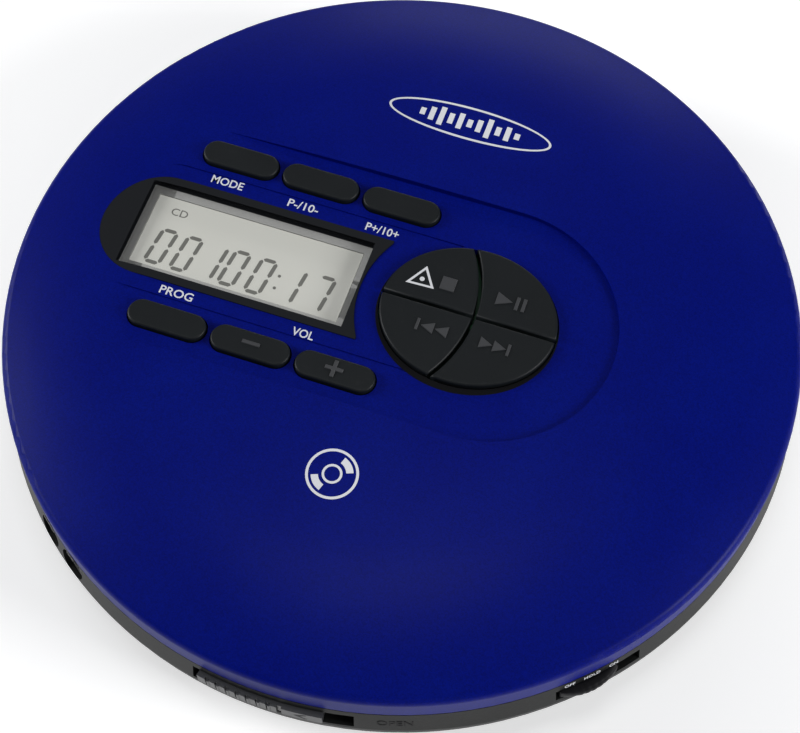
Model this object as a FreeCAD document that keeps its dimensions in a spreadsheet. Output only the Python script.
"""Portable CD player: a round clamshell case with a hinged lid, keys and display in the lid,
and the disc mechanism, two AA cells, board, sockets and latch in the base.

Frame: +Z up, origin under the centre of the case on the surface it stands on, front at -Y,
hinge at +Y, right-hand side at +X. All sizes are in millimetres and live in the sheet "Sizes".
"""
import FreeCAD, Part
import math
import os
import re

import Sketcher

doc = FreeCAD.newDocument("PortableCdPlayer")
sizes = doc.addObject("Spreadsheet::Sheet", "Sizes")

# ---------------------------------------------------------------- driving dimensions
CASE = [
    ("lid_radius", 70.0),
    ("lid_overhang", 1.0),
    ("wall", 1.8),
    ("foot_height", 1.0),
    ("foot_radius", 4.0),
    ("foot_circle", 50.0),
    ("base_curve_run", 12.0),
    ("base_bulge", 2.0),
    ("base_lean", 1.0),
    ("base_band_bottom", 10.0),
    ("rim_drop", 2.5),
    ("parting_gap", 0.3),
    ("skirt_height", 5.1),
    ("lid_edge_inset", 1.25),
    ("lid_edge_rise", 1.6),
    ("shoulder_run", 24.0),
    ("crown_drop", 1.4),
    ("crown_flat", 2.0),
    ("lid_depth", 5.8),
    ("lid_wall", 1.6),
]
CONTROLS = [
    ("recess_depth", 1.5),
    ("recess_margin", 2.8),
    ("recess_end_offset", 3.3),
    ("button_length", 14.2),
    ("button_width", 5.0),
    ("button_spacing", 1.1),
    ("button_first_x", -36.6),
    ("button_row_gap", 4.6),
    ("button_proud", 1.0),
    ("button_gap", 0.25),
    ("button_edge", 0.45),
    ("flange_lip", 0.4),
    ("flange_thickness", 0.4),
    ("key_travel", 0.5),
    ("key_centre_x", 12.0),
    ("key_half_length", 15.5),
    ("key_half_width", 13.3),
    ("key_split_offset", 23.3),
    ("key_split_radius", 24.3),
    ("key_split_gap", 0.6),
    ("window_left_x", -45.8),
    ("window_half_width", 10.3),
    ("key_surround", 4.1),
    ("window_proud", 0.2),
    ("window_gap", 0.05),
    ("display_left_offset", 4.2),
    ("display_right_offset", 0.4),
    ("display_margin", 1.5),
    ("display_border", 1.5),
    ("glass_thickness", 1.0),
    ("groove_inset", 0.1),
    ("groove_width", 0.35),
    ("groove_depth", 0.25),
]
DISC_WELL = [
    ("deck_clearance", 0.7),
    ("deck_thickness", 0.8),
    ("deck_lip", 1.4),
    ("deck_lip_height", 1.6),
    ("disc_thickness", 1.2),
    ("disc_headroom", 1.8),
    ("liner_thickness", 0.7),
    ("liner_inset", 8.7),
    ("disc_clearance", 1.4),
    ("disc_hole_radius", 7.5),
    ("disc_radius", 60.0),
    ("turntable_radius", 14.5),
    ("hub_hole_radius", 15.6),
    ("spindle_radius", 1.0),
    ("shaft_clearance", 0.04),
]
MECHANISM = [
    ("motor_clearance", 0.8),
    ("chassis_thickness", 0.8),
    ("chassis_left", -14.0),
    ("chassis_margin", 9.0),
    ("motor_radius", 9.5),
    ("motor_height", 5.6),
    ("rail_y", 15.0),
    ("rail_radius", 1.0),
    ("rail_rise", 3.4),
    ("rail_inner_spare", 2.8),
    ("rail_outer_spare", 2.3),
    ("lens_x", 25.0),
    ("lens_radius", 2.5),
    ("sled_travel", 31.0),
    ("sled_inner_reach", 12.0),
    ("sled_outer_reach", 5.0),
    ("sled_height", 5.4),
    ("sled_headroom", 0.8),
    ("screw_offset", 5.6),
    ("screw_end_inset", 5.1),
    ("screw_radius", 1.2),
    ("sled_motor_radius", 3.35),
    ("sled_motor_length", 12.0),
]
BATTERIES = [
    ("cell_radius", 7.1),
    ("cell_length", 50.5),
    ("cell_gap", 0.6),
    ("cell_play", 0.1),
    ("bay_right", -18.2),
    ("bay_wall", 1.2),
    ("bay_clearance", 0.4),
    ("spring_room", 3.0),
    ("door_thickness", 1.4),
    ("door_gap", 0.2),
]
FITTINGS = [
    ("board_z", 8.4),
    ("board_thickness", 1.2),
    ("board_left_inset", 31.0),
    ("board_right_inset", 21.0),
    ("board_front_inset", 11.0),
    ("board_rear_gap", 1.05),
    ("jack_azimuth", 234.0),
    ("jack_spacing", 7.4),
    ("jack_bore", 1.8),
    ("jack_nose", 2.8),
    ("jack_length", 15.5),
    ("jack_width", 6.4),
    ("jack_body_height", 6.0),
    ("power_azimuth", 126.0),
    ("power_z", 11.4),
    ("power_bore", 2.7),
    ("power_pin", 0.65),
    ("power_nose", 3.2),
    ("latch_drop", 4.6),
    ("latch_height", 3.0),
    ("latch_start", 261.0),
    ("latch_end", 278.5),
    ("slot_start", 260.0),
    ("slot_end", 282.6),
    ("hold_start", 310.0),
    ("hold_end", 319.0),
    ("hold_travel", 3.0),
    ("switch_azimuth", 300.0),
    ("switch_inset", 4.4),
    ("hinge_inset", 2.8),
    ("hinge_rise", 1.1),
    ("catch_inset", 2.4),
    ("catch_thickness", 1.6),
    ("hinge_barrel", 1.7),
    ("hinge_pin", 0.8),
    ("hinge_half_length", 13.0),
    ("hinge_middle", 7.0),
    ("screw_shank", 0.95),
    ("screw_head", 1.9),
    ("screw_head_height", 1.0),
    ("slack", 0.3),
]


# ---------------------------------------------------------------- sizes that follow from them
WORKED_OUT = {
    "base_radius": "lid_radius - lid_overhang",
    "base_inside": "base_radius - wall",
    "base_outer": "base_radius + base_bulge",
    "side_radius": "base_outer - base_lean / 2",
    "base_flat_radius": "base_radius - base_curve_run",
    "crown_radius": "lid_radius - shoulder_run",
    "floor_top": "foot_height + wall",
    "chassis_z": "floor_top + motor_height + motor_clearance",
    "rail_z": "chassis_z + chassis_thickness + rail_rise",
    "sled_bottom": "rail_z - sled_height / 2 + 0.3",
    "cell_stack": "floor_top + 2 * cell_radius + 2 * cell_play + deck_thickness",
    "sled_stack": "sled_bottom + sled_height + sled_headroom + deck_thickness",
    "deck_top": "max(cell_stack; sled_stack)",
    "deck_radius": "base_inside - deck_clearance",
    "disc_plane": "deck_top + disc_clearance",
    "liner_bottom": "disc_plane + disc_thickness + disc_headroom",
    "liner_radius": "base_inside - liner_inset",
    "lid_apex": "liner_bottom + lid_depth",
    "base_rim": "deck_top - rim_drop",
    "lid_edge_z": "base_rim + skirt_height",
    "hinge_y": "lid_radius - hinge_inset",
    "hinge_z": "base_rim + hinge_rise",
    "latch_z": "base_rim - latch_drop",
    "button_pitch": "button_length + button_spacing",
    "button_row_y": "window_half_width + button_width / 2 + button_row_gap",
    "recess_half_width": "button_row_y + button_width / 2 + recess_margin",
    "recess_end_x": "key_centre_x + recess_end_offset",
    "key_split_x": "key_centre_x - key_split_offset",
    "window_end_radius": "key_half_length + key_surround",
    "display_left": "window_left_x - display_left_offset",
    "display_right": "key_centre_x - window_end_radius - display_right_offset",
    "display_half_width": "window_half_width - display_margin",
    "groove_half_width": "key_half_width - groove_inset",
    "rail_start": "lens_x - sled_inner_reach - rail_inner_spare",
    "rail_end": "lens_x + sled_travel + sled_outer_reach + rail_outer_spare",
    "screw_end": "rail_end - screw_end_inset",
    "screw_y": "-rail_y - screw_offset",
    "chassis_right": "rail_end + 0.2",
    "chassis_half_width": "rail_y + chassis_margin",
    "board_left": "board_left_inset - base_radius",
    "board_right": "base_radius - board_right_inset",
    "board_front": "board_front_inset - base_radius",
    "board_rear": "-cell_length / 2 - spring_room - bay_wall - board_rear_gap",
    "jack_z": "board_z + board_thickness + jack_body_height / 2",
    "switch_x": "(base_inside - switch_inset) * cos(switch_azimuth)",
    "switch_y": "(base_inside - switch_inset) * sin(switch_azimuth)",
    "catch_outer": "base_inside - catch_inset",
    "catch_inner": "base_inside - catch_inset - catch_thickness",
}


def fill_sheet(groups):
    """One row for each driving size: its name, then its value in millimetres or degrees."""
    row = 1
    for group in groups:
        for name, value in group:
            sizes.set("A%d" % row, name)
            sizes.set("B%d" % row, str(value))
            sizes.setAlias("B%d" % row, name)
            row += 1
    doc.recompute()


fill_sheet([CASE, CONTROLS, DISC_WELL, MECHANISM, BATTERIES, FITTINGS])
ALIASES = set(name for group in (CASE, CONTROLS, DISC_WELL, MECHANISM, BATTERIES, FITTINGS)
              for name, _ in group)


# ---------------------------------------------------------------- expressions
def linked(text):
    """The expression with every driving size pointing at its cell of the sheet, and every size
    that follows from others written out."""
    def one(word):
        name = word.group(0)
        if name in WORKED_OUT:
            return "(%s)" % linked(WORKED_OUT[name])
        return "Sizes." + name if name in ALIASES else name

    return re.sub(r"[a-z_]+", one, str(text))


def value(text):
    """The present value of an expression."""
    return float(sizes.evalExpression(linked(text)))


def bind(thing, **properties):
    for name, text in properties.items():
        thing.setExpression(name, linked(text))
    return thing


def place(thing, x="0", y="0", z="0", turns=()):
    """Put a thing at x, y, z, turned by each (axis, angle) pair, the last one first."""
    axes = {"x": "vector(1; 0; 0)", "y": "vector(0; 1; 0)", "z": "vector(0; 0; 1)"}
    turned = " * ".join("rotation(%s; %s)" % (axes[axis], linked(angle)) for axis, angle in turns)
    where = "vector(%s; %s; %s)" % (linked(x), linked(y), linked(z))
    turned = turned or "rotation(vector(0; 0; 1); 0)"
    thing.setExpression("Placement", "placement(%s; %s)" % (where, turned))
    return thing


# ---------------------------------------------------------------- solids
def block(name, x, y, z, length, width, height):
    """A block with its lowest corner at x, y, z."""
    thing = doc.addObject("Part::Box", name)
    bind(thing, Length=length, Width=width, Height=height)
    return place(thing, x, y, z)


def rod(name, x, y, z, radius, length, along="z"):
    """A round bar that starts at x, y, z and runs along +X, +Y or +Z."""
    thing = doc.addObject("Part::Cylinder", name)
    bind(thing, Radius=radius, Height=length)
    turns = {"z": (), "x": (("y", "90"),), "y": (("x", "-90"),)}[along]
    return place(thing, x, y, z, turns)


def sector(name, radius, z, height, start, end):
    """A slice of a round disc about the centre line, from one azimuth to another."""
    thing = doc.addObject("Part::Cylinder", name)
    bind(thing, Radius=radius, Height=height, Angle="(%s) - (%s)" % (end, start))
    return place(thing, z=z, turns=(("z", start),))


def arc_wall(name, inner, outer, z, height, start, end):
    """A curved wall about the centre line between two radii and two azimuths."""
    whole = sector(name + "Outer", outer, z, height, start, end)
    inside = rod(name + "Inner", "0", "0", "%s - 1" % z, inner, "%s + 2" % height)
    return cut(name, whole, [inside])


def ring(name, x, y, z, inner, outer, height):
    return cut(name, rod(name + "Outer", x, y, z, outer, height),
               [rod(name + "Bore", x, y, "%s - 1" % z, inner, "%s + 2" % height)])


def capsule(name, x, y, z, length, width, height):
    """An upright prism with straight sides along X and full round ends."""
    straight = "(%s) - (%s)" % (length, width)
    middle = block(name + "Middle", "%s - (%s) / 2" % (x, straight), "%s - (%s) / 2" % (y, width), z,
                   straight, width, height)
    left = rod(name + "Left", "%s - (%s) / 2" % (x, straight), y, z, "(%s) / 2" % width, height)
    right = rod(name + "Right", "%s + (%s) / 2" % (x, straight), y, z, "(%s) / 2" % width, height)
    return join(name, [middle, left, right])


def ellipse(name, x, y, z, half_length, half_width, height):
    """An upright prism on an ellipse with its long axis along X."""
    outline = doc.addObject("Part::Ellipse", name + "Outline")
    bind(outline, MajorRadius=half_length, MinorRadius=half_width)
    place(outline, x, y, z)
    thing = doc.addObject("Part::Extrusion", name)
    thing.Base = outline
    thing.DirMode = "Custom"
    thing.Dir = FreeCAD.Vector(0, 0, 1)
    thing.Solid = True
    return bind(thing, LengthFwd=height)


def join(name, pieces):
    thing = doc.addObject("Part::MultiFuse", name)
    thing.Shapes = pieces
    thing.Refine = True
    return thing


def cut(name, solid, tools):
    tool = tools[0] if len(tools) == 1 else join(name + "Tools", tools)
    thing = doc.addObject("Part::Cut", name)
    thing.Base = solid
    thing.Tool = tool
    thing.Refine = True
    return thing


def overlap(name, pieces):
    thing = doc.addObject("Part::MultiCommon", name)
    thing.Shapes = pieces
    thing.Refine = True
    return thing


def bevel(name, solid, size, chosen):
    """Chamfer the edges for which chosen(edge) is true."""
    doc.recompute()
    numbers = [i + 1 for i, edge in enumerate(solid.Shape.Edges) if chosen(edge)]
    thing = doc.addObject("Part::Chamfer", name)
    thing.Base = solid
    thing.Edges = [(number, value(size), value(size)) for number in numbers]
    return thing


def at_height(level):
    """A test for edges that lie flat at one height."""
    height = value(level)
    return lambda edge: edge.BoundBox.ZLength < 1e-4 and abs(edge.BoundBox.ZMin - height) < 1e-3


def revolved(name, outline):
    """A PartDesign body turned about Z. The outline is a closed loop of (radius, height, kind),
    where kind says how the run to the next corner goes: "line", or the radius of an arc that
    bulges to the left of the run."""
    body = doc.addObject("PartDesign::Body", name)
    sketch = body.newObject("Sketcher::SketchObject", name + "Profile")
    plane = [item for item in body.Origin.OriginFeatures if item.Role == "XZ_Plane"][0]
    sketch.AttachmentSupport = [(plane, "")]
    sketch.MapMode = "FlatFace"
    corners = [FreeCAD.Vector(value(radius), value(height), 0) for radius, height, _ in outline]
    ends = []
    for index, (_, _, kind) in enumerate(outline):
        first = corners[index]
        last = corners[(index + 1) % len(corners)]
        if kind == "line":
            number = sketch.addGeometry(Part.LineSegment(first, last))
            ends.append((number, 1, 2))
            continue
        radius = value(kind)
        start, finish = (last, first) if radius > 0 else (first, last)
        run = finish - start
        inward = FreeCAD.Vector(-run.y, run.x, 0).normalize()
        centre = (start + finish) / 2 + inward * (radius ** 2 - (run.Length / 2) ** 2) ** 0.5
        angles = [math.atan2(point.y - centre.y, point.x - centre.x) for point in (start, finish)]
        circle = Part.Circle(centre, FreeCAD.Vector(0, 0, 1), abs(radius))
        number = sketch.addGeometry(Part.ArcOfCircle(circle, angles[0], angles[1]))
        ends.append((number, 2, 1) if radius > 0 else (number, 1, 2))
    for index, (number, _, last_end) in enumerate(ends):
        following, first_end, _ = ends[(index + 1) % len(ends)]
        sketch.addConstraint(Sketcher.Constraint("Coincident", number, last_end, following, first_end))
    for index, (radius, height, kind) in enumerate(outline):
        number, first_end, _ = ends[index]
        pin_corner(sketch, number, first_end, "DistanceX", radius, -2)
        pin_corner(sketch, number, first_end, "DistanceY", height, -1)
        if kind != "line":
            added = sketch.addConstraint(Sketcher.Constraint("Radius", number, abs(value(kind))))
            sketch.setExpression("Constraints[%d]" % added, "abs(%s)" % linked(kind))
    turn = body.newObject("PartDesign::Revolution", name + "Turn")
    turn.Profile = sketch
    turn.ReferenceAxis = (sketch, ["V_Axis"])
    turn.Angle = 360
    return body


def pin_corner(sketch, number, end, direction, text, axis):
    """Hold one corner of a profile at its distance from the origin along one direction."""
    if str(text) == "0":
        sketch.addConstraint(Sketcher.Constraint("PointOnObject", number, end, axis))
        return
    added = sketch.addConstraint(Sketcher.Constraint(direction, -1, 1, number, end, value(text)))
    sketch.setExpression("Constraints[%d]" % added, linked(text))


SUBPARTS = []


def subpart(label, thing):
    """Name a finished piece; its label is its file's name."""
    thing.Label = label
    SUBPARTS.append(thing)
    return thing


# ---------------------------------------------------------------- levels worked out from the sizes
BASE_FLOOR = "floor_top"
BASE_INNER = "base_inside"
SKIRT_BOTTOM = "(base_rim + parting_gap)"
RECESS_FLOOR = "(lid_apex - recess_depth)"
PLATE_UNDER = "(lid_apex - recess_depth - lid_wall)"
DECK_UNDER = "(deck_top - deck_thickness)"
LINER_TOP = "(liner_bottom + liner_thickness)"
KEY_BOARD_Z = "(liner_bottom + liner_thickness + 0.05)"
KEY_BOARD_TOP = "(liner_bottom + liner_thickness + 0.6)"
WINDOW_UNDER = "(lid_apex - recess_depth - lid_wall - 0.2)"
BOARD_TOP = "(board_z + board_thickness)"
BAY_WIDTH = "(4 * cell_radius + cell_gap + 2 * bay_clearance)"
BAY_LEFT = "(bay_right - (4 * cell_radius + cell_gap + 2 * bay_clearance))"
BAY_HALF = "(cell_length / 2 + spring_room)"
DOOR_HALF = "(cell_length / 2 + bay_clearance)"
CELL_Z = "(floor_top + cell_radius + cell_play)"
CHASSIS_TOP = "(chassis_z + chassis_thickness)"
POSTS = [("(%s - bay_wall - 3.8)" % BAY_LEFT, "0"), ("24", "(-chassis_half_width - 3.4)"),
         ("30", "42"), ("-20", "48")]
SCREW_SPREAD = "((liner_radius - 3.5) * 0.7072)"
LID_SCREWS = [(sx + SCREW_SPREAD, sy + SCREW_SPREAD) for sx in ("-", "") for sy in ("-", "")]
BUTTON_NAMES = [("mode_button", 0, 1), ("skip_back_button", 1, 1), ("skip_forward_button", 2, 1),
                ("program_button", 0, -1), ("volume_down_button", 1, -1), ("volume_up_button", 2, -1)]


def crown_profile(drop, edge_inset, edge_z, edge_rise, outer, bottom):
    """The lid's section: a very flat crown, a shoulder that rolls off, an edge and the skirt."""
    crown_z = "(lid_apex - crown_drop - %s)" % drop
    apex_z = "(lid_apex - %s)" % drop
    spread = "(crown_radius - crown_flat)"
    crown = "((%s ^ 2 + crown_drop ^ 2) / (2 * crown_drop))" % spread
    run = "(%s - %s - crown_radius)" % (outer, edge_inset)
    fall = "(%s - %s - %s)" % (crown_z, edge_z, edge_rise)
    chord = "sqrt(%s ^ 2 + %s ^ 2)" % (run, fall)
    turn = "(atan(%s / %s) - asin(%s / %s))" % (fall, run, spread, crown)
    shoulder = "(%s / (2 * sin(%s)))" % (chord, turn)
    edge = "((%s ^ 2 + %s ^ 2) / (2 * %s))" % (edge_inset, edge_rise, edge_inset)
    return [("0", apex_z, "line"),
            ("crown_flat", apex_z, crown),
            ("crown_radius", crown_z, shoulder),
            ("%s - %s" % (outer, edge_inset), "%s + %s" % (edge_z, edge_rise), edge),
            (outer, edge_z, "line"),
            (outer, bottom, "line"),
            ("0", bottom, "line")]


def base_profile(radius, flat_radius, floor, top, lean="0"):
    """The base's section: a flat floor, a curve up into the side band, and the band, which may
    lean inwards towards its top."""
    across = "(%s - %s)" % (radius, flat_radius)
    rise = "(base_band_bottom - %s)" % floor
    curve = "((%s ^ 2 + %s ^ 2) / (2 * %s))" % (across, rise, across)
    return [("0", floor, "line"),
            (flat_radius, floor, "-%s" % curve),
            (radius, "base_band_bottom", "line"),
            ("%s - %s" % (radius, lean), top, "line"),
            ("0", top, "line")]


# ---------------------------------------------------------------- openings shared by lid and keys
def button_centre(column):
    return "(button_first_x + %d * button_pitch)" % column


def button_prism(name, column, side, grow, z, height):
    return capsule(name, button_centre(column), "(%d * button_row_y)" % side, z,
                   "(button_length + 2 * %s)" % grow, "(button_width + 2 * %s)" % grow, height)


def window_prism(name, grow, z, height):
    """The display window's outline: round at the left, hollowed to follow the keys at the right."""
    right = "(key_centre_x - window_end_radius * 0.866 + %s)" % grow
    half = "(window_half_width + %s)" % grow
    body = block(name + "Bar", "window_left_x", "-%s" % half, z, "%s - window_left_x" % right,
                 "2 * %s" % half, height)
    left = rod(name + "Left", "window_left_x", "0", z, half, height)
    hollow = rod(name + "Hollow", "key_centre_x", "0", "%s - 1" % z,
                 "window_end_radius - %s" % grow, "%s + 2" % height)
    return cut(name, join(name + "Whole", [body, left]), [hollow])


def recess_prism(name, grow, z, height):
    """The flat-floored recess round the controls: open at the left, round at the right."""
    half = "(recess_half_width + %s)" % grow
    body = block(name + "Bar", "-lid_radius", "-%s" % half, z, "lid_radius + recess_end_x",
                 "2 * %s" % half, height)
    end = rod(name + "End", "recess_end_x", "0", z, half, height)
    return join(name, [body, end])


def groove_tool(name):
    """The fine line that links the display window's surround to the keys."""
    z = "%s - groove_depth" % RECESS_FLOOR
    tall = "lid_wall + 3"
    solids = []
    for label, half in (("Out", "(groove_half_width + groove_width / 2)"),
                        ("In", "(groove_half_width - groove_width / 2)")):
        bar = block(name + label + "Bar", "window_left_x", "-%s" % half, z,
                    "key_centre_x - window_left_x - 5", "2 * %s" % half, tall)
        end = rod(name + label + "End", "window_left_x", "0", z, half, tall)
        solids.append(join(name + label, [bar, end]))
    return cut(name, solids[0], [solids[1]])


# ---------------------------------------------------------------- lid
def make_lid_shell(blank):
    inside = revolved("LidHollow", crown_profile("lid_wall", "lid_edge_inset", "(lid_edge_z - 0.4)",
                                                 "(lid_edge_rise - 1.1)", "(lid_radius - wall)",
                                                 "(%s - 2)" % SKIRT_BOTTOM))
    pad = recess_prism("RecessPad", "lid_wall", PLATE_UNDER, "10")
    cavity = cut("LidCavity", inside, [pad])
    tools = [cavity, recess_prism("Recess", "0", RECESS_FLOOR, "5"), groove_tool("Groove"),
             window_prism("WindowHole", "window_gap", "liner_bottom", "8"),
             ellipse("KeyHole", "key_centre_x", "0", "liner_bottom", "key_half_length + button_gap",
                     "key_half_width + button_gap", "8")]
    for label, column, side in BUTTON_NAMES:
        tools.append(button_prism(label + "Hole", column, side, "button_gap", "liner_bottom", "8"))
    for index, (x, y) in enumerate(LID_SCREWS):
        tools.append(rod("LidScrewHole%d" % index, x, y, "liner_bottom - 1", "screw_shank + 0.05",
                         "liner_thickness + 2.4"))
    reach = "(hinge_half_length + slack)"
    tools.append(block("HingeNotch", "-%s" % reach, "hinge_y - 2.4", "base_rim - 1", "2 * %s" % reach,
                       "6", "hinge_z + hinge_barrel - base_rim + 1.2"))
    shell = cut("LidShellCut", blank, tools)
    middle = "(hinge_middle - 0.2)"
    knuckle = rod("LidKnuckle", "-%s" % middle, "hinge_y", "hinge_z", "hinge_barrel", "2 * %s" % middle, "x")
    web = block("LidKnuckleWeb", "-%s" % middle, "hinge_y - hinge_barrel + 0.3", "hinge_z",
                "2 * %s" % middle, "2 * hinge_barrel - 0.9", "lid_edge_z - hinge_z")
    solid = join("LidWithKnuckle", [shell, knuckle, web])
    bore = rod("LidKnuckleBore", "-%s - 1" % middle, "hinge_y", "hinge_z", "hinge_pin + shaft_clearance",
               "2 * %s + 2" % middle, "x")
    lid = cut("LidWhole", solid, [bore])
    above = rod("CrownZone", "0", "0", "lid_edge_z + lid_edge_rise", "lid_radius + 5", "lid_apex")
    subpart("lid_rim", cut("LidRim", lid, [above]))
    return subpart("lid_shell", overlap("LidShell", [lid, above]))


def make_window(blank):
    tall = "%s + window_proud - %s" % (RECESS_FLOOR, WINDOW_UNDER)
    prism = window_prism("WindowBlank", "0", WINDOW_UNDER, tall)
    return subpart("display_window", overlap("Window", [prism, blank]))


def make_display():
    z = "%s + 0.05" % KEY_BOARD_TOP
    length = "display_right - display_left"
    frame = block("DisplayFrameOuter", "display_left", "-display_half_width", z, length,
                  "2 * display_half_width", "%s - (%s)" % (WINDOW_UNDER, z))
    hole = block("DisplayFrameHole", "display_left + display_border", "display_border - display_half_width",
                 "%s - 1" % z, "%s - 2 * display_border" % length,
                 "2 * (display_half_width - display_border)", "5")
    subpart("display_frame", cut("DisplayFrame", frame, [hole]))
    inset = "(display_border + 0.1)"
    subpart("display_glass", block("DisplayGlass", "display_left + %s" % inset,
                                   "%s - display_half_width" % inset, z, "%s - 2 * %s" % (length, inset),
                                   "2 * (display_half_width - %s)" % inset, "glass_thickness"))


def make_buttons():
    flange_z = "(%s - flange_thickness - 0.1)" % PLATE_UNDER
    cap_z = "(%s - 0.1)" % PLATE_UNDER
    cap_height = "(%s + button_proud - %s)" % (RECESS_FLOOR, cap_z)
    for label, column, side in BUTTON_NAMES:
        cap = button_prism(label + "Cap", column, side, "0", cap_z, cap_height)
        top = at_height("%s + %s" % (cap_z, cap_height))
        rounded = bevel(label + "Bevel", cap, "button_edge", top)
        flange = button_prism(label + "Flange", column, side, "flange_lip", flange_z, "flange_thickness")
        subpart(label, join(label + "Solid", [rounded, flange]))


def key_quarter(label, side, inner):
    """One of the four keys that share an oval: split along y = 0 and by an arc."""
    flange_z = "(%s - flange_thickness - 0.1)" % PLATE_UNDER
    cap_z = "(%s - 0.1)" % PLATE_UNDER
    cap_height = "(%s + button_proud - %s)" % (RECESS_FLOOR, cap_z)
    cap = ellipse(label + "Cap", "key_centre_x", "0", cap_z, "key_half_length", "key_half_width", cap_height)
    top = at_height("%s + %s" % (cap_z, cap_height))
    rounded = bevel(label + "Bevel", cap, "button_edge", top)
    flange = ellipse(label + "Flange", "key_centre_x", "0", flange_z, "key_half_length + flange_lip",
                     "key_half_width + flange_lip", "flange_thickness")
    whole = join(label + "Whole", [rounded, flange])
    low = "key_split_gap / 2" if side > 0 else "-30"
    half = block(label + "Half", "-30", low, "liner_bottom", "90", "30 - key_split_gap / 2", "10")
    if inner:
        zone = rod(label + "Zone", "key_split_x", "0", "liner_bottom", "key_split_radius - key_split_gap / 2",
                   "10")
        return overlap(label + "Key", [whole, half, zone])
    zone = rod(label + "Zone", "key_split_x", "0", "liner_bottom", "key_split_radius + key_split_gap / 2", "10")
    return cut(label + "Key", overlap(label + "Side", [whole, half]), [zone])


def make_keys():
    for label, side, inner in (("stop_button", 1, True), ("play_button", 1, False),
                               ("previous_button", -1, True), ("next_button", -1, False)):
        subpart(label, key_quarter(label, side, inner))


def make_key_board():
    left = "(display_left - 2)"
    half = "(button_row_y + button_width / 2 + 1.6)"
    whole = block("KeyBoardBlank", left, "-%s" % half, KEY_BOARD_Z,
                  "key_centre_x + key_half_length + 1.5 - %s" % left, "2 * %s" % half, "0.55")
    reach = rod("KeyBoardReach", "0", "0", "%s - 1" % KEY_BOARD_Z, "liner_radius - 3", "3")
    subpart("key_board", overlap("KeyBoard", [whole, reach]))
    domes = []
    spots = [(button_centre(column), "(%d * button_row_y)" % side) for _, column, side in BUTTON_NAMES]
    spots += [("(key_centre_x + %d)" % across, str(up)) for up in (5, -5) for across in (-7, 7)]
    for index, (x, y) in enumerate(spots):
        domes.append(rod("Dome%d" % index, x, y, KEY_BOARD_TOP, "2.2", "0.25"))
    subpart("dome_switches", join("Domes", domes))


def make_liner():
    plate = rod("LinerPlate", "0", "0", "liner_bottom", "liner_radius", "liner_thickness")
    holes = [rod("LinerHole%d" % index, x, y, "liner_bottom - 1", "screw_shank + 0.05", "3")
             for index, (x, y) in enumerate(LID_SCREWS)]
    subpart("lid_liner", cut("Liner", plate, holes))
    subpart("disc_pads", ring("DiscPads", "0", "0", "liner_bottom - 0.5", "disc_hole_radius + 1.2",
                              "disc_hole_radius + 4.5", "0.5"))
    screws = [make_screw("LidScrew%d" % index, x, y, "liner_bottom - screw_head_height", "lid_depth - 3.9")
              for index, (x, y) in enumerate(LID_SCREWS)]
    subpart("lid_screws", join("LidScrews", screws))


def make_screw(name, x, y, z, shank):
    """A pan-head screw standing on its head, with a cross recess."""
    head = rod(name + "Head", x, y, z, "screw_head", "screw_head_height")
    stem = rod(name + "Stem", x, y, "%s + screw_head_height" % z, "screw_shank", shank)
    slots = []
    for label, along, across in (("SlotA", "2.0", "0.45"), ("SlotB", "0.45", "2.0")):
        slots.append(block(name + label, "%s - %s / 2" % (x, along), "%s - %s / 2" % (y, across),
                           "%s - 0.1" % z, along, across, "0.6"))
    return cut(name, join(name + "Whole", [head, stem]), slots)


def make_catch():
    """The lid's tongue: a plate under the liner, a tab down through the deck, and a toe."""
    plate = arc_wall("CatchPlate", "liner_radius - 4.5", "liner_radius", "liner_bottom - 1", "1", "265", "271.2")
    arm = arc_wall("CatchArm", "liner_radius - 2", "catch_outer", "liner_bottom - 2.2", "1.2", "265", "271.2")
    tongue = arc_wall("CatchTongue", "catch_inner", "catch_outer", "base_rim - 1.1",
                      "liner_bottom - base_rim - 0.5", "267", "269")
    toe = arc_wall("CatchToe", "catch_inner", "catch_outer", "base_rim - 1.1", "1", "268.5", "271.2")
    subpart("lid_catch", join("Catch", [plate, arm, tongue, toe]))


# ---------------------------------------------------------------- base
def jack_row(name, side, x, radius, length):
    """A bar along the sockets' shared direction, one socket's step to one side."""
    bar = doc.addObject("Part::Cylinder", name)
    bind(bar, Radius=radius, Height=length)
    step = "(%s * jack_spacing / 2)" % side
    return place(bar, "%s * cos(jack_azimuth) - %s * sin(jack_azimuth)" % (x, step),
                 "%s * sin(jack_azimuth) + %s * cos(jack_azimuth)" % (x, step), "jack_z",
                 (("z", "jack_azimuth"), ("y", "90")))


def power_row(name, x, radius, length):
    bar = doc.addObject("Part::Cylinder", name)
    bind(bar, Radius=radius, Height=length)
    return place(bar, "%s * cos(power_azimuth)" % x, "%s * sin(power_azimuth)" % x, "power_z",
                 (("z", "power_azimuth"), ("y", "90")))


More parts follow.
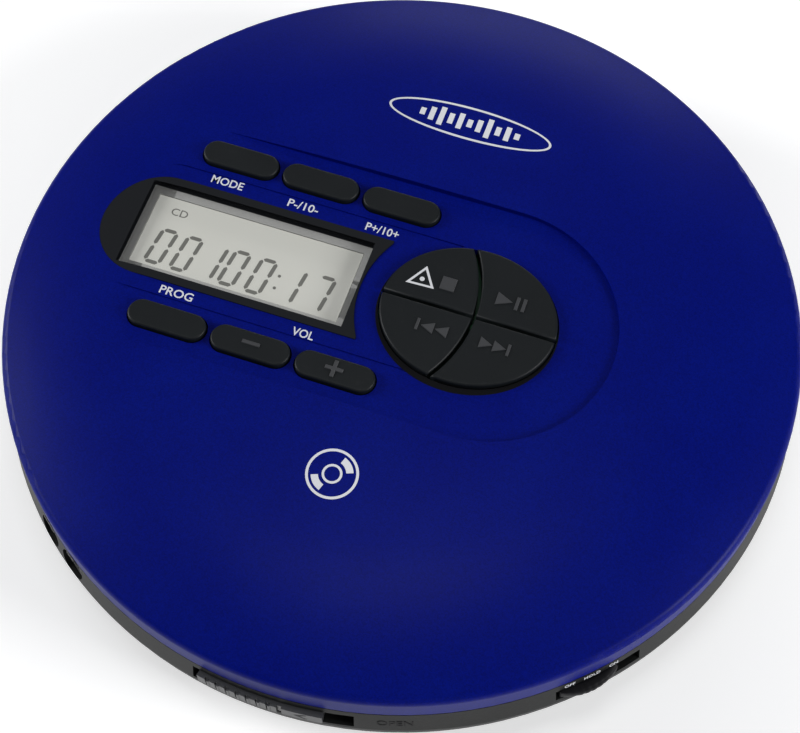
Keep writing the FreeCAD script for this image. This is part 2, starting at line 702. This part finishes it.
def make_base_shell():
    outside = revolved("BaseBlank", base_profile("base_outer", "base_flat_radius", "foot_height",
                                                 "base_rim", "base_lean"))
    inside = revolved("BaseHollow", base_profile(BASE_INNER, "(base_flat_radius - 0.8)", BASE_FLOOR,
                                                 "(base_rim + 1)"))
    bowl = cut("BaseBowl", outside, [inside])
    outer_bay = block("BayOuter", "%s - bay_wall" % BAY_LEFT, "-%s - bay_wall" % BAY_HALF, "foot_height + 0.5",
                      "%s + 2 * bay_wall" % BAY_WIDTH, "2 * (%s + bay_wall)" % BAY_HALF,
                      "%s - foot_height - 0.5" % DECK_UNDER)
    keep_in = rod("BayKeepIn", "0", "0", "foot_height", BASE_INNER, "deck_top")
    posts = [rod("Post%d" % index, x, y, "foot_height + 0.5", "2.8", "%s - foot_height - 0.5" % DECK_UNDER)
             for index, (x, y) in enumerate(POSTS)]
    added = overlap("BayKept", [join("BayAndPosts", [outer_bay] + posts), keep_in])
    middle = "(hinge_middle + 0.2)"
    lugs = []
    for label, start in (("HingeLugL", "-hinge_half_length"), ("HingeLugR", middle)):
        length = "(hinge_half_length - %s)" % middle
        lugs.append(rod(label, start, "hinge_y", "hinge_z", "hinge_barrel", length, "x"))
        lugs.append(block(label + "Web", start, "hinge_y - hinge_barrel + 0.3", "base_rim - 4", length,
                          "2 * hinge_barrel - 0.6", "hinge_z - base_rim + 4"))
    scallop = block("HingeScallop", "-hinge_half_length - 7", "hinge_y - 7.2", "base_rim - 0.6",
                    "2 * hinge_half_length + 14", "16", "2")
    notched = cut("BaseNotched", join("BaseSolid", [bowl, added]), [scallop])
    whole = join("BaseWhole", [notched] + lugs)
    tools = base_cuts()
    return subpart("base_shell", cut("BaseShell", whole, tools))


def base_cuts():
    tools = [block("BayInner", BAY_LEFT, "-%s" % BAY_HALF, BASE_FLOOR, BAY_WIDTH, "2 * %s" % BAY_HALF, "deck_top"),
             block("DoorHole", BAY_LEFT, "-%s" % DOOR_HALF, "0", BAY_WIDTH, "2 * %s" % DOOR_HALF, "deck_top")]
    for index, (x, y) in enumerate(POSTS):
        tools.append(rod("PostBore%d" % index, x, y, "0", "screw_shank + 0.05", "deck_top"))
        tools.append(rod("PostSink%d" % index, x, y, "0", "screw_head + 0.2", "foot_height + 2"))
    tools.append(jack_row("PhonesHole", "-1", "(base_radius - 9)", "jack_nose + 0.15", "15"))
    tools.append(jack_row("LineHole", "1", "(base_radius - 9)", "jack_nose + 0.15", "15"))
    tools.append(power_row("PowerHole", "(base_radius - 9)", "power_nose + 0.15", "15"))
    deep, clear = "base_radius - 9", "base_outer + 6"
    tools.append(arc_wall("LatchSlot", deep, clear, "latch_z - slack", "latch_height + 2 * slack",
                          "slot_start", "slot_end"))
    tools.append(arc_wall("HoldSlot", deep, clear, "latch_z", "latch_height", "hold_start - 0.4",
                          "hold_end + hold_travel + 0.4"))
    tools.append(rod("HingeBore", "-hinge_half_length - 1", "hinge_y", "hinge_z",
                     "hinge_pin + shaft_clearance", "2 * hinge_half_length + 2", "x"))
    tools.append(rod("KnuckleRoom", "-(hinge_middle + 0.2)", "hinge_y", "hinge_z", "hinge_barrel + slack",
                     "2 * (hinge_middle + 0.2)", "x"))
    return tools


def make_deck():
    """The floor of the disc well, with its raised lip, skirt, hub hole and lens slot."""
    plate = rod("DeckPlate", "0", "0", DECK_UNDER, "deck_radius", "deck_thickness")
    lip = ring("DeckLip", "0", "0", "%s - 1.2" % DECK_UNDER, "deck_radius - deck_lip", "deck_radius",
               "deck_thickness + deck_lip_height + 1.2")
    hub = rod("DeckHubHole", "0", "0", "0", "hub_hole_radius", "40")
    slot = capsule("DeckSlot", "(lens_x + sled_travel / 2)", "0", "0", "sled_travel + 14", "10.4", "40")
    latch = arc_wall("DeckLatchGap", "base_inside - 5.2", "lid_radius", "0", "40", "265", "280")
    hinge = block("DeckHingeGap", "-hinge_half_length - 1", "hinge_y - hinge_barrel - 0.7", "0",
                  "2 * hinge_half_length + 2", "10", "40")
    switch = rod("DeckSwitchHole", "switch_x", "switch_y", "0", "1.5", "40")
    bores = [rod("DeckBore%d" % index, x, y, "0", "screw_shank + 0.05", "%s + 0.4" % DECK_UNDER)
             for index, (x, y) in enumerate(POSTS)]
    whole = join("DeckWhole", [plate, lip])
    subpart("deck_plate", cut("Deck", whole, [hub, slot, latch, hinge, switch] + bores))


def make_bottom():
    feet = []
    for index in range(4):
        foot = doc.addObject("Part::Cylinder", "Foot%d" % index)
        bind(foot, Radius="foot_radius", Height="foot_height")
        angle = 45 + 90 * index
        feet.append(place(foot, "foot_circle * cos(%d)" % angle, "foot_circle * sin(%d)" % angle))
    subpart("rubber_feet", join("Feet", feet))
    screws = [make_screw("CaseScrew%d" % index, x, y, "foot_height + 1", "11")
              for index, (x, y) in enumerate(POSTS)]
    subpart("case_screws", join("CaseScrews", screws))
    door = block("DoorPlate", "%s + door_gap" % BAY_LEFT, "door_gap - %s" % DOOR_HALF, "foot_height",
                 "%s - 2 * door_gap" % BAY_WIDTH, "2 * (%s - door_gap)" % DOOR_HALF, "door_thickness")
    grip = block("DoorGrip", "%s + 4" % BAY_LEFT, "-6", "foot_height - 0.1", "2", "12", "0.6")
    subpart("battery_door", cut("Door", door, [grip]))


def make_cells():
    near = "(bay_right - bay_clearance - cell_radius)"
    far = "(bay_right - bay_clearance - 3 * cell_radius - cell_gap)"
    for label, x, plus in (("battery_cell_inner", near, 1), ("battery_cell_outer", far, -1)):
        can = rod(label + "Can", x, "-cell_length / 2 + %s" % ("0" if plus > 0 else "1.2"), CELL_Z,
                  "cell_radius", "cell_length - 1.2", "y")
        tip_y = "cell_length / 2 - 1.2" if plus > 0 else "-cell_length / 2"
        tip = rod(label + "Tip", x, tip_y, CELL_Z, "2.7", "1.2", "y")
        subpart(label, join(label + "Solid", [can, tip]))
    springs = []
    plates = []
    for label, x, side in (("A", near, -1), ("B", far, 1)):
        cone = doc.addObject("Part::Cone", "Spring" + label)
        bind(cone, Radius1="3.6", Radius2="2.4", Height="spring_room - 0.6")
        start = "%d * (%s - 0.5)" % (side, BAY_HALF)
        springs.append(place(cone, x, start, CELL_Z, (("x", "%d" % (90 * side)),)))
        for tag, way in (("Neg", side), ("Pos", -side)):
            low = "%s - 0.45" % BAY_HALF if way > 0 else "0.05 - %s" % BAY_HALF
            plates.append(block("Contact%s%s" % (label, tag), "%s - 4.5" % x, low, "%s - 5" % CELL_Z,
                                "9", "0.4", "10"))
    subpart("battery_springs", join("BatterySprings", springs))
    subpart("battery_contacts", join("BatteryContacts", plates))


def make_board():
    blank = block("BoardBlank", "board_left", "board_front", "board_z", "board_right - board_left",
                  "board_rear - board_front", "board_thickness")
    reach = rod("BoardReach", "0", "0", "0", "%s - 1" % BASE_INNER, "30")
    subpart("main_board", overlap("Board", [blank, reach]))
    chips = [block("Chip%d" % index, x, y, BOARD_TOP, length, width, "1.4")
             for index, (x, y, length, width) in enumerate((
                 ("-16", "board_front + 8", "12", "12"), ("4", "board_front + 10", "9", "9"),
                 ("18", "board_front + 14", "8", "5"), ("-20", "board_rear - 5.5", "6", "4")))]
    subpart("board_chips", join("Chips", chips))
    cans = [rod("Can%d" % index, x, "board_rear - 5.5", BOARD_TOP, "2.5", "5.5")
            for index, x in enumerate(("30", "36", "8"))]
    subpart("board_capacitors", join("Capacitors", cans))


def make_jack(label, side):
    body = doc.addObject("Part::Box", label + "Body")
    bind(body, Length="jack_length - 2.6", Width="jack_width", Height="jack_body_height")
    step = "(%s * jack_spacing / 2 - jack_width / 2)" % side
    back = "(base_radius - jack_length - 0.6)"
    place(body, "%s * cos(jack_azimuth) - %s * sin(jack_azimuth)" % (back, step),
          "%s * sin(jack_azimuth) + %s * cos(jack_azimuth)" % (back, step),
          "jack_z - jack_body_height / 2", (("z", "jack_azimuth"),))
    nose = jack_row(label + "Nose", side, "(base_radius - 5)", "jack_nose", "4.0 + base_bulge")
    bore = jack_row(label + "Bore", side, "(base_radius - jack_length + 0.9)", "jack_bore", "20")
    subpart(label, cut(label + "Solid", join(label + "Whole", [body, nose]), [bore]))


def make_power_jack():
    body = doc.addObject("Part::Box", "PowerBody")
    bind(body, Length="10", Width="9", Height="7.6")
    place(body, "(base_radius - 13) * cos(power_azimuth) + 4.5 * sin(power_azimuth)",
          "(base_radius - 13) * sin(power_azimuth) - 4.5 * cos(power_azimuth)", "power_z - 3.8",
          (("z", "power_azimuth"),))
    nose = power_row("PowerNose", "(base_radius - 5)", "power_nose", "4.4 + base_bulge")
    bore = power_row("PowerBore", "(base_radius - 10)", "power_bore", "20")
    pin = power_row("PowerPin", "(base_radius - 10.5)", "power_pin", "8.5")
    hollow = cut("PowerHollow", join("PowerWhole", [body, nose]), [bore])
    subpart("power_jack", join("PowerJack", [hollow, pin]))


def make_latch():
    """The sliding latch: grooved grip outside, flange inside the wall, finger over the catch's toe."""
    inner = "(%s - slack - 1)" % BASE_INNER
    outer = "(%s - slack)" % BASE_INNER
    flange = arc_wall("LatchFlange", inner, outer, "latch_z - 0.9", "latch_height + 1.8",
                      "latch_start - 4", "latch_end + 4")
    grip = arc_wall("LatchGrip", inner, "side_radius + 0.7", "latch_z", "latch_height", "latch_start", "latch_end")
    riser = arc_wall("LatchRiser", inner, outer, "latch_z", "base_rim + 1.4 - latch_z", "271.6", "275")
    finger = arc_wall("LatchFinger", "catch_inner - 0.4", outer, "base_rim + 0.4", "1", "271.6", "275")
    grooves = [arc_wall("LatchGroove%d" % index, "side_radius + 0.3", "base_outer + 6", "latch_z - 1",
                        "latch_height + 2", "latch_start + %s" % (1.2 + 1.45 * index),
                        "latch_start + %s" % (1.85 + 1.45 * index))
               for index in range(8)]
    subpart("open_latch", cut("OpenLatch", join("LatchWhole", [flange, grip, riser, finger]), grooves))


def make_hold():
    knob = arc_wall("HoldKnobWall", "%s - slack - 0.6" % BASE_INNER, "side_radius + 1.6", "latch_z + slack",
                    "latch_height - 2 * slack", "hold_start", "hold_end")
    subpart("hold_knob", knob)
    subpart("hold_switch", arc_wall("HoldSwitch", "base_inside - 7.7",
                                    "%s - 2 * slack - 0.7" % BASE_INNER, BOARD_TOP, "4.2", "309", "323"))


def make_lid_switch():
    """The switch that feels the closed lid: a case on the board and a sprung plunger."""
    case = block("LidSwitchCase", "switch_x - 2.5", "switch_y - 2.5", BOARD_TOP, "5", "5", "5")
    room = rod("LidSwitchRoom", "switch_x", "switch_y", "%s + 0.8" % BOARD_TOP, "1.2 + shaft_clearance", "9")
    subpart("lid_switch", cut("LidSwitch", case, [room]))
    foot = "(%s + 3.2)" % BOARD_TOP
    subpart("lid_switch_plunger", rod("LidPlunger", "switch_x", "switch_y", foot, "1.2",
                                      "liner_bottom - 0.6 - %s" % foot))


def make_hinge_pin():
    subpart("hinge_pin", rod("HingePin", "0.2 - hinge_half_length", "hinge_y", "hinge_z", "hinge_pin",
                             "2 * hinge_half_length - 0.4", "x"))


# ---------------------------------------------------------------- disc mechanism
def make_chassis():
    plate = block("ChassisPlate", "chassis_left", "-chassis_half_width", "chassis_z",
                  "chassis_right - chassis_left", "2 * chassis_half_width", "chassis_thickness")
    reach = rod("ChassisReach", "0", "0", "0", "%s - 1" % BASE_INNER, "30")
    brackets = []
    for index, side in enumerate((-1, 1)):
        y = "%d * rail_y - 2" % side
        for tag, x in (("In", "rail_start"), ("Out", "rail_end - 1.6")):
            brackets.append(block("RailSeat%s%d" % (tag, index), x, y, "chassis_z", "1.6", "4", "6.2"))
    brackets.append(block("ScrewSeat", "screw_end - 1.2", "screw_y - 2", "chassis_z", "1.4", "4", "6.2"))
    whole = overlap("ChassisKept", [join("ChassisAll", [plate] + brackets), reach])
    holes = [block("ChassisSlot", "rail_start + 1.8", "-11", "0", "rail_end - rail_start - 4", "22", "30"),
             rod("ChassisHub", "0", "0", "0", "4.2", "30"),
             rod("ScrewSeatBore", "40", "screw_y", "rail_z", "screw_radius + shaft_clearance", "30", "x")]
    holes += [rod("RailBore%d" % index, "0", "%d * rail_y" % side, "rail_z", "rail_radius", "80", "x")
              for index, side in enumerate((-1, 1))]
    subpart("mechanism_chassis", cut("Chassis", whole, holes))
    dampers = [rod("Damper%d" % index, x, y, BASE_FLOOR, "2.6", "chassis_z - %s" % BASE_FLOOR)
               for index, (x, y) in enumerate((
                   ("-10", "chassis_half_width - 5"), ("-10", "5 - chassis_half_width"),
                   ("rail_end - 13.3", "rail_y + 5"), ("rail_end - 17.3", "-rail_y - 6")))]
    subpart("damper_mounts", join("Dampers", dampers))


def make_spindle():
    motor = rod("MotorCan", "0", "0", "chassis_z - motor_height", "motor_radius", "motor_height")
    bearing = rod("MotorBearing", "0", "0", "chassis_z - 1", "3.6", "2")
    bore = rod("MotorBore", "0", "0", "chassis_z - 3", "spindle_radius + shaft_clearance", "10")
    subpart("spindle_motor", cut("SpindleMotor", join("MotorWhole", [motor, bearing]), [bore]))
    shaft = rod("SpindleShaft", "0", "0", "chassis_z - 2.6", "spindle_radius", "disc_plane - chassis_z + 2.6")
    neck = rod("SpindleNeck", "0", "0", "%s + 1.2" % CHASSIS_TOP, "3.6", "disc_plane - %s - 1.2" % CHASSIS_TOP)
    plate = rod("SpindlePlate", "0", "0", "disc_plane - 1", "turntable_radius", "1")
    boss = rod("SpindleBoss", "0", "0", "disc_plane - 1", "disc_hole_radius - 0.25", "2.9")
    pointed = bevel("SpindleNose", boss, "0.8", at_height("disc_plane + 1.9"))
    subpart("turntable", join("Turntable", [shaft, neck, plate, pointed]))
    balls = []
    for index in range(3):
        ball = doc.addObject("Part::Sphere", "Ball%d" % index)
        bind(ball, Radius="0.6")
        angle = 90 + 120 * index
        balls.append(place(ball, "(disc_hole_radius - 0.7) * cos(%d)" % angle,
                           "(disc_hole_radius - 0.7) * sin(%d)" % angle, "disc_plane + 0.9"))
    subpart("disc_balls", join("Balls", balls))


def make_sled():
    back = "(lens_x - sled_inner_reach)"
    z = "sled_bottom"
    body = block("SledBody", back, "-rail_y - 2", z, "sled_inner_reach + sled_outer_reach",
                 "2 * rail_y + 4", "sled_height")
    relief = block("SledRelief", "%s - 1" % back, "-7.5", "%s - 1" % z, "5", "15", "sled_height + 2")
    arm = block("SledNut", "lens_x - 8", "screw_y - 1.9", "rail_z - 1.9", "6", "-screw_y - rail_y + 1", "3.8")
    collar = rod("SledCollar", "lens_x", "0", z, "4.2", "deck_top - 0.7 - %s" % z)
    bores = [rod("SledBore%d" % index, "0", "%d * rail_y" % side, "rail_z", "rail_radius + shaft_clearance",
                 "80", "x") for index, side in enumerate((-1, 1))]
    bores.append(rod("SledNutBore", "0", "screw_y", "rail_z", "screw_radius + shaft_clearance", "80", "x"))
    bores.append(rod("SledLensSeat", "lens_x", "0", "deck_top - 1.4", "lens_radius", "3"))
    whole = join("SledWhole", [body, arm, collar])
    subpart("pickup_sled", cut("Sled", whole, [relief] + bores))
    subpart("objective_lens", rod("Lens", "lens_x", "0", "deck_top - 1.4", "lens_radius", "0.9"))


def make_drive():
    for label, side in (("guide_rail_left", -1), ("guide_rail_right", 1)):
        subpart(label, rod(label + "Bar", "rail_start", "%d * rail_y" % side, "rail_z", "rail_radius",
                           "rail_end - rail_start", "x"))
    subpart("sled_motor", rod("SledMotor", "-0.6", "screw_y", "rail_z", "sled_motor_radius",
                              "sled_motor_length", "x"))
    subpart("lead_screw", rod("LeadScrew", "sled_motor_length - 0.5", "screw_y", "rail_z", "screw_radius",
                              "screw_end - sled_motor_length + 0.5", "x"))


# ---------------------------------------------------------------- build, check and write
def build():
    blank = revolved("LidBlank", crown_profile("0", "lid_edge_inset", "lid_edge_z", "lid_edge_rise",
                                               "lid_radius", SKIRT_BOTTOM))
    make_lid_shell(blank)
    make_window(blank)
    make_display()
    make_buttons()
    make_keys()
    make_key_board()
    make_liner()
    make_catch()
    make_base_shell()
    make_deck()
    make_bottom()
    make_cells()
    make_board()
    make_jack("phones_jack", "-1")
    make_jack("line_out_jack", "1")
    make_power_jack()
    make_latch()
    make_hold()
    make_lid_switch()
    make_hinge_pin()
    make_chassis()
    make_spindle()
    make_sled()
    make_drive()
    doc.recompute()


def check():
    """Stop if any object failed, or any piece has no valid shape."""
    for thing in doc.Objects:
        if "Invalid" in thing.State or "Error" in thing.State:
            raise RuntimeError("%s failed: %s" % (thing.Name, thing.State))
    for thing in SUBPARTS:
        if thing.Shape.isNull() or not thing.Shape.isValid() or not thing.Shape.Solids:
            raise RuntimeError("%s has no valid solid" % thing.Label)


def write():
    os.makedirs("parts", exist_ok=True)
    for thing in SUBPARTS:
        thing.Shape.exportStep("parts/%s.step" % thing.Label)
        print("%-22s %2d solids %9.1f mm3" % (thing.Label, len(thing.Shape.Solids), thing.Shape.Volume))


build()
check()
write()
